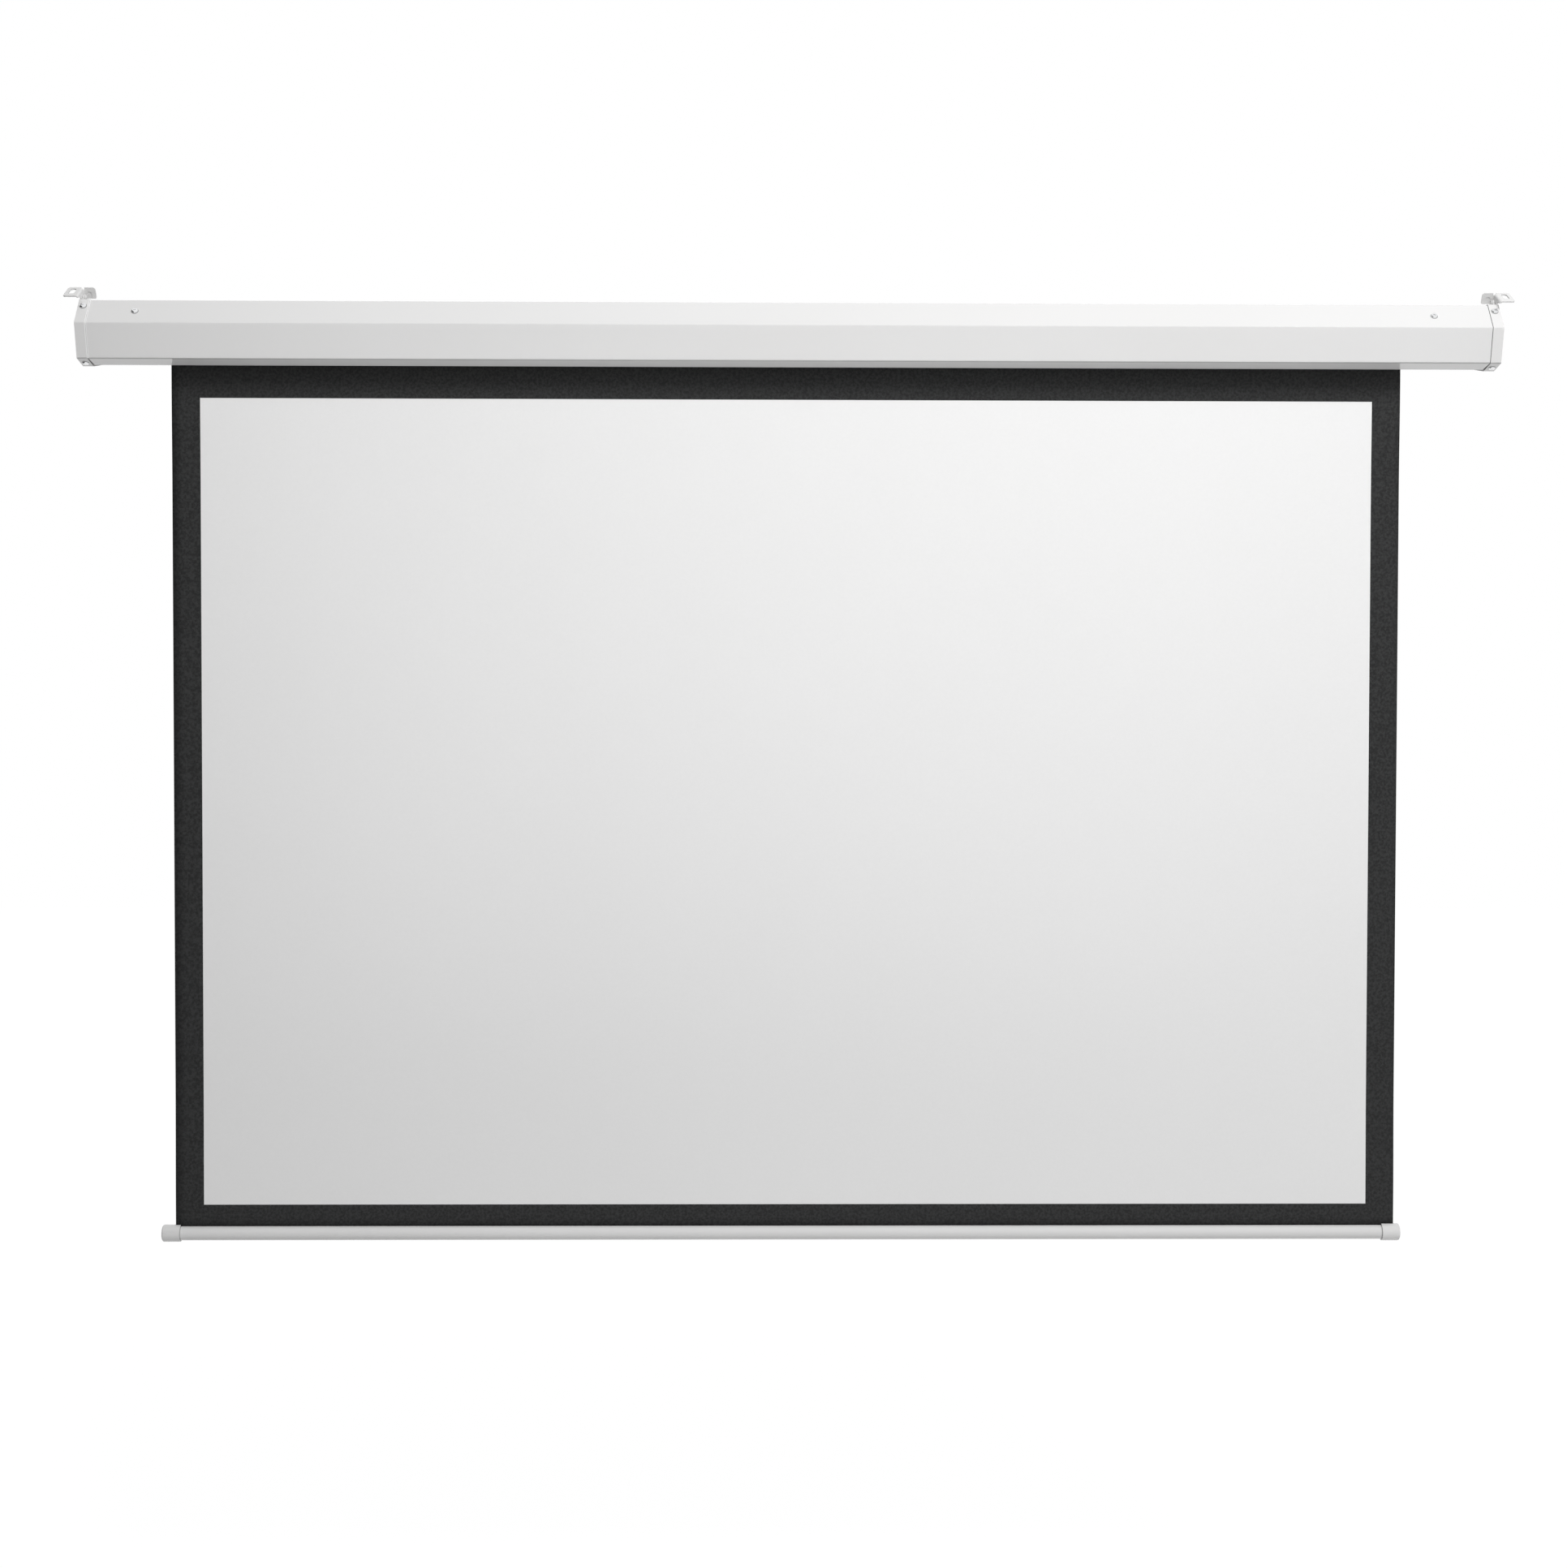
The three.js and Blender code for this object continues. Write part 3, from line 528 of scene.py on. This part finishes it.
def is_underside(middle, normal):
    return normal.z < FACES_DOWN


# %% Head and shank
HEAD_HEIGHT, HEAD_ROUND, HEAD_CROWN, CROWN_INSET = 0.0026, 0.0018, 0.0002, 0.0012
HEAD_FLATS, HEAD_ROUND_STEPS = 32, 5
SHANK_RADIUS, SHANK_LENGTH, TIP_SHARE = 0.0021, 0.009, 0.5
FLAT_TOP, NEAR_MIDDLE_SHARE = 0.99, 1.1
rim_height = HEAD_HEIGHT - HEAD_CROWN


def is_flat_top(middle, normal):
    return normal.z > FLAT_TOP and middle.length < rim_height * NEAR_MIDDLE_SHARE


deselect_all()
bpy.ops.mesh.primitive_cylinder_add(vertices=HEAD_FLATS, radius=HEAD_RADIUS, depth=rim_height,
                                    location=(0, 0, rim_height / 2))
screw = bpy.context.object
screw.name = "pan_head_screw"
bpy.ops.object.transform_apply(location=True, rotation=True, scale=True)
bpy.ops.object.mode_set(mode="EDIT")
pick_faces(screw, is_top)
bpy.ops.mesh.bevel(offset=HEAD_ROUND, segments=HEAD_ROUND_STEPS, profile=0.5, affect="EDGES")
pick_faces(screw, is_flat_top)
bpy.ops.mesh.inset(thickness=CROWN_INSET)
bpy.ops.transform.translate(value=(0, 0, HEAD_CROWN))
pick_faces(screw, is_underside)
bpy.ops.mesh.inset(thickness=HEAD_RADIUS - SHANK_RADIUS)
for length in (SHANK_LENGTH - SHANK_RADIUS, SHANK_RADIUS):
    bpy.ops.mesh.extrude_region_move(TRANSFORM_OT_translate={"value": (0, 0, -length)})
bpy.ops.transform.resize(value=(TIP_SHARE, TIP_SHARE, 1))
bpy.ops.object.mode_set(mode="OBJECT")
print("screw", tuple(round(v * 1000, 2) for v in screw.dimensions), "faces", len(screw.data.polygons))

# %% Cross recess
RECESS_SPAN, RECESS_WIDTH, RECESS_DEPTH, RECESS_NARROWS = 0.0040, 0.0009, 0.0012, 0.55
CUTTER_SHARE = 1.5
CUTTER_HEIGHT = RECESS_DEPTH * CUTTER_SHARE


def cut_slot(span, width):
    """Cut one slot that narrows downwards into the top of the screw's head."""
    deselect_all()
    middle_height = HEAD_HEIGHT - RECESS_DEPTH + CUTTER_HEIGHT / 2
    bpy.ops.mesh.primitive_cube_add(size=1, location=(0, 0, middle_height))
    cutter = bpy.context.object
    cutter.scale = (span, width, CUTTER_HEIGHT)
    bpy.ops.object.transform_apply(location=True, rotation=True, scale=True)
    bpy.ops.object.mode_set(mode="EDIT")
    pick_faces(cutter, is_underside)
    bpy.ops.transform.resize(value=(RECESS_NARROWS, RECESS_NARROWS, 1))
    bpy.ops.object.mode_set(mode="OBJECT")
    hollow = screw.modifiers.new("recess", "BOOLEAN")
    hollow.operation = "DIFFERENCE"
    hollow.solver = "EXACT"
    hollow.object = cutter
    pick(screw)
    bpy.ops.object.modifier_apply(modifier=hollow.name)
    bpy.data.objects.remove(cutter)


cut_slot(RECESS_SPAN, RECESS_WIDTH)
cut_slot(RECESS_WIDTH, RECESS_SPAN)
bpy.ops.object.shade_smooth_by_angle(angle=math.radians(40))
screw.data.materials.append(chrome_plate)
print("with its recess", len(screw.data.polygons), "faces")

# %% [markdown]
# Each screw stands square on its facet, a hair off the paint, where the solid model has it. The copies get
# their own mesh, and no two are turned alike, because nobody lines up the crosses.

# %% Six screws
CLEARANCE = 0.0003


def drive_screw(node_name, seat, facing, turn):
    placed = screw.copy()
    placed.data = screw.data.copy()
    placed.name = node_name.replace("_screw", "_pan_head")
    placed.data.name = placed.name
    bpy.context.collection.objects.link(placed)
    placed.rotation_mode = "QUATERNION"
    upright = Vector((0, 0, 1)).rotation_difference(facing)
    placed.rotation_quaternion = upright @ Quaternion((0, 0, 1), math.radians(turn))
    placed.location = Vector(seat) + facing * CLEARANCE
    pick(placed)
    bpy.ops.object.transform_apply(location=True, rotation=True, scale=True)
    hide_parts(node_name)
    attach(placed, "case")
    return placed


def box_gap(placed, node_name):
    """The most that any side of the screw's box lies off the box of its solid, in metres."""
    places = list(zip(*(vertex.co for vertex in placed.data.vertices)))
    solid_low, solid_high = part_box(node_name)
    gaps = [abs(min(values) - side) for values, side in zip(places, solid_low)]
    gaps += [abs(max(values) - side) for values, side in zip(places, solid_high)]
    return max(gaps)


for node_name, (seat, facing, turn) in SCREW_SEATS.items():
    placed = drive_screw(node_name, seat, facing, turn)
    print(placed.name, "off its solid by mm", round(box_gap(placed, node_name) * 1000, 2))
bpy.data.objects.remove(screw)

# %% [markdown]
# The cloth hangs from the roller, comes out of the slot under the case and ends in the weight bar. It is
# not quite flat: the edges of a plain roll-down screen curl back by a millimetre or two, and shallow folds
# run down from the roller. They all lie behind the cloth's plane, so that it clears the roll when it is up.
# So it starts as a fine upright grid, as wide and high as the frame's flat fabric, and moving the grid's
# points gives it its folds. A Solidify modifier adds the thickness, and a second material the black back.

# %% Cloth sheet
(SHEET_LEFT, SHEET_FRONT, SHEET_FOOT), (SHEET_RIGHT, _, SHEET_TOP) = frame_box("black_border")
SHEET_THICK = 0.00065
CLOTH_ACROSS, CLOTH_DOWN = 120, 90

deselect_all()
bpy.ops.mesh.primitive_grid_add(
    x_subdivisions=CLOTH_ACROSS, y_subdivisions=CLOTH_DOWN, size=2,
    location=((SHEET_LEFT + SHEET_RIGHT) / 2, SHEET_FRONT, (SHEET_FOOT + SHEET_TOP) / 2),
    rotation=(math.pi / 2, 0, 0))
cloth = bpy.context.object
cloth.name = "screen_cloth"
cloth.data.name = "screen_cloth"
cloth.scale = ((SHEET_RIGHT - SHEET_LEFT) / 2, (SHEET_TOP - SHEET_FOOT) / 2, 1)
bpy.ops.object.transform_apply(location=True, rotation=True, scale=True)
print("cloth points", len(cloth.data.vertices), "normal", tuple(cloth.data.polygons[0].normal))

# %% Shallow folds
HELD_TOP, HELD_FOOT, EASE = 0.05, 0.97, 0.12
CURL_DEPTH, CURL_POWER = 0.0018, 8
RIPPLE_DEPTH, RIPPLE_TURN = 0.00045, 9.1
SWAY, SWAY_TURN = 0.6, 3.0
MIDDLE_SHARE = 0.4


def eased(share):
    return max(0.0, min(1.0, share / EASE))


def fold_depth(x, z):
    """How far the cloth stands back, in metres: nothing at the slot and the bar, most in between."""
    down = (SHEET_TOP - z) / (SHEET_TOP - SHEET_FOOT)
    free = eased(down - HELD_TOP) * eased(HELD_FOOT - down)
    free = free * free * (3 - 2 * free)
    side = abs((x - (SHEET_LEFT + SHEET_RIGHT) / 2) / ((SHEET_RIGHT - SHEET_LEFT) / 2))
    curl = CURL_DEPTH * side ** CURL_POWER
    wave = 1 + math.sin(x * RIPPLE_TURN + SWAY * math.sin(z * SWAY_TURN))
    return free * (curl + RIPPLE_DEPTH * wave * (MIDDLE_SHARE + (1 - MIDDLE_SHARE) * side))


for vertex in cloth.data.vertices:
    vertex.co.y += fold_depth(vertex.co.x, vertex.co.z)
cloth.data.update()
depths = [vertex.co.y - SHEET_FRONT for vertex in cloth.data.vertices]
print("folds stand back by mm, from", round(min(depths) * 1000, 2), "to", round(max(depths) * 1000, 2))

# %% Thickness and materials of the cloth
cloth.data.materials.append(front_cloth)
cloth.data.materials.append(back_cloth)
thicken = cloth.modifiers.new("cloth_thickness", "SOLIDIFY")
thicken.thickness = SHEET_THICK
thicken.offset = -1
thicken.material_offset = 1
thicken.material_offset_rim = 1
pick(cloth)
bpy.ops.object.shade_smooth()
bpy.ops.object.modifier_apply(modifier=thicken.name)
print("cloth faces", len(cloth.data.polygons))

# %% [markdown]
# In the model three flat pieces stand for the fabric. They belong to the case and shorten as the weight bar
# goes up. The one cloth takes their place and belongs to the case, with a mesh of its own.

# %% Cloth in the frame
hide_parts("viewing_surface", "black_border", "fabric_backing")
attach(cloth, "case")
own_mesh(cloth)

# %% [markdown]
# The studio is plain: a pale floor, and a world that is white all round. The photograph's background is
# pure white, so to the camera, and in mirrors, both show a plain white, while for all other rays the floor
# is an ordinary pale surface and the world a soft light. A Mix Shader's two inputs share one name, so its
# sockets are picked by their number.

# %% What the camera sees
WHITE = (1.0, 1.0, 1.0, 1.0)
SHOWN_RAYS = ("Is Camera Ray", "Is Glossy Ray", "Is Transmission Ray")
BLEND_FACTOR, BLEND_FIRST, BLEND_SECOND = 0, 1, 2


def show_plain(tree, end, ordinary, plain, share):
    """Rays from the camera, mirrors and clear pieces get this share of the plain shader."""
    straight, glossy, clear = [new_node(tree, "ShaderNodeLightPath", output=ray) for ray in SHOWN_RAYS]
    shown = straight.most(glossy).most(clear) * share
    inputs = {BLEND_FACTOR: shown, BLEND_FIRST: Wire(tree, ordinary.outputs[0]), BLEND_SECOND: plain}
    feed(end, "Surface", new_node(tree, "ShaderNodeMixShader", inputs=inputs))


# %% Floor
FLOOR_Z, FLOOR_SIZE, FLOOR_BEHIND = -1.95, 24, 2
FLOOR_TONE, FLOOR_GLOW, GLOW_SHARE = 0.74, 1.08, 0.9

floor_white, floor_shader, _ = new_finish(
    "floor_white", Base_Color=grey(FLOOR_TONE), Roughness=0.9, Specular_IOR_Level=0.0)
floor_tree = floor_white.node_tree
glow = new_node(floor_tree, "ShaderNodeEmission", inputs={"Color": WHITE, "Strength": FLOOR_GLOW})
show_plain(floor_tree, floor_tree.nodes["Material Output"], floor_shader, glow, GLOW_SHARE)
bpy.ops.mesh.primitive_plane_add(size=FLOOR_SIZE, location=(0, FLOOR_BEHIND, FLOOR_Z))
floor = bpy.context.object
floor.name = "studio_floor"
floor.data.materials.append(floor_white)
print("floor at", FLOOR_Z)

# %% World
SOFT_LIGHT, SHOWN_LIGHT = 0.46, 1.0

world = bpy.data.worlds.new("studio_world")
scene.world = world
world.use_nodes = True
sky = world.node_tree
soft = sky.nodes["Background"]
soft.inputs["Color"].default_value = WHITE
soft.inputs["Strength"].default_value = SOFT_LIGHT
bright = new_node(sky, "ShaderNodeBackground", inputs={"Color": WHITE, "Strength": SHOWN_LIGHT})
show_plain(sky, sky.nodes["World Output"], soft, bright, 1.0)
print("world's soft light", SOFT_LIGHT)

# %% [markdown]
# In the photograph the left screw heads are mostly black and the right ones mostly white, and the left end
# of the case is darker than the right. So the room was dark to the left of the screen. A large black flag
# stands there: no camera sees it, but the paint, the plated screws and the soft light do.

# %% Black flag
FLAG_PLACE, FLAG_SCALE = (-2.4, -2.2, -0.1), (4.4, 5.2, 1)
FELT_TONES = (0.015, 0.02)

bpy.ops.mesh.primitive_plane_add(size=1, location=FLAG_PLACE, rotation=(0, math.pi / 2, 0))
flag = bpy.context.object
flag.name = "black_flag"
flag.scale = FLAG_SCALE
felt, felt_shader, felt_place = new_finish("black_felt", Roughness=1.0, Specular_IOR_Level=0.0)
felt_colour = mixed(noise(felt_place, scale=30.0), *[grey(tone) for tone in FELT_TONES])
feed(felt_shader, "Base Color", felt_colour)
flag.data.materials.append(felt)
flag.visible_camera = False
print("flag", FLAG_SCALE[:2], "at", FLAG_PLACE)

# %% [markdown]
# The top facet of the case is the brightest, the front a little darker and the facet under it clearly
# darker, and everything is a little brighter to the right. So one large lamp stands high in front, to the
# right, and the world's soft light does the rest. Two weak ones stand low: one in front for the bar and the
# foot of the cloth, and one with a narrow spread for the facet under the case, which the black border
# would leave too dark. The lamps themselves aren't mirrored in the paint.

# %% Lamps
def soft_box(name, place, aim, width, height, power):
    """An oblong lamp at a place, turned to face its aim, in metres and watts."""
    bpy.ops.object.light_add(type="AREA", location=place)
    lamp = bpy.context.object
    lamp.name = name
    lamp.data.shape = "RECTANGLE"
    lamp.data.size = width
    lamp.data.size_y = height
    lamp.data.energy = power
    lamp.visible_glossy = False
    lamp.rotation_mode = "QUATERNION"
    lamp.rotation_quaternion = (Vector(aim) - Vector(place)).to_track_quat("-Z", "Y")
    return lamp


soft_box("key_box", place=(0.92, -2.65, 2.1), aim=(0.1, 0, -0.3), width=1.8, height=1.2, power=90)
soft_box("fill_box", place=(0.4, -2.3, -1.85), aim=(0, -0.07, -0.1), width=2.2, height=0.5, power=3.6)
facet_lamp = soft_box("facet_box", place=(0, -1.25, -1.9), aim=(0, -0.07, -0.02), width=1.9, height=0.3,
                      power=1.0)
facet_lamp.data.spread = math.radians(50)

# %% [markdown]
# The photograph's tones are plain, so the picture keeps the Standard view of them.

# %% Look
scene.view_settings.view_transform = "Standard"
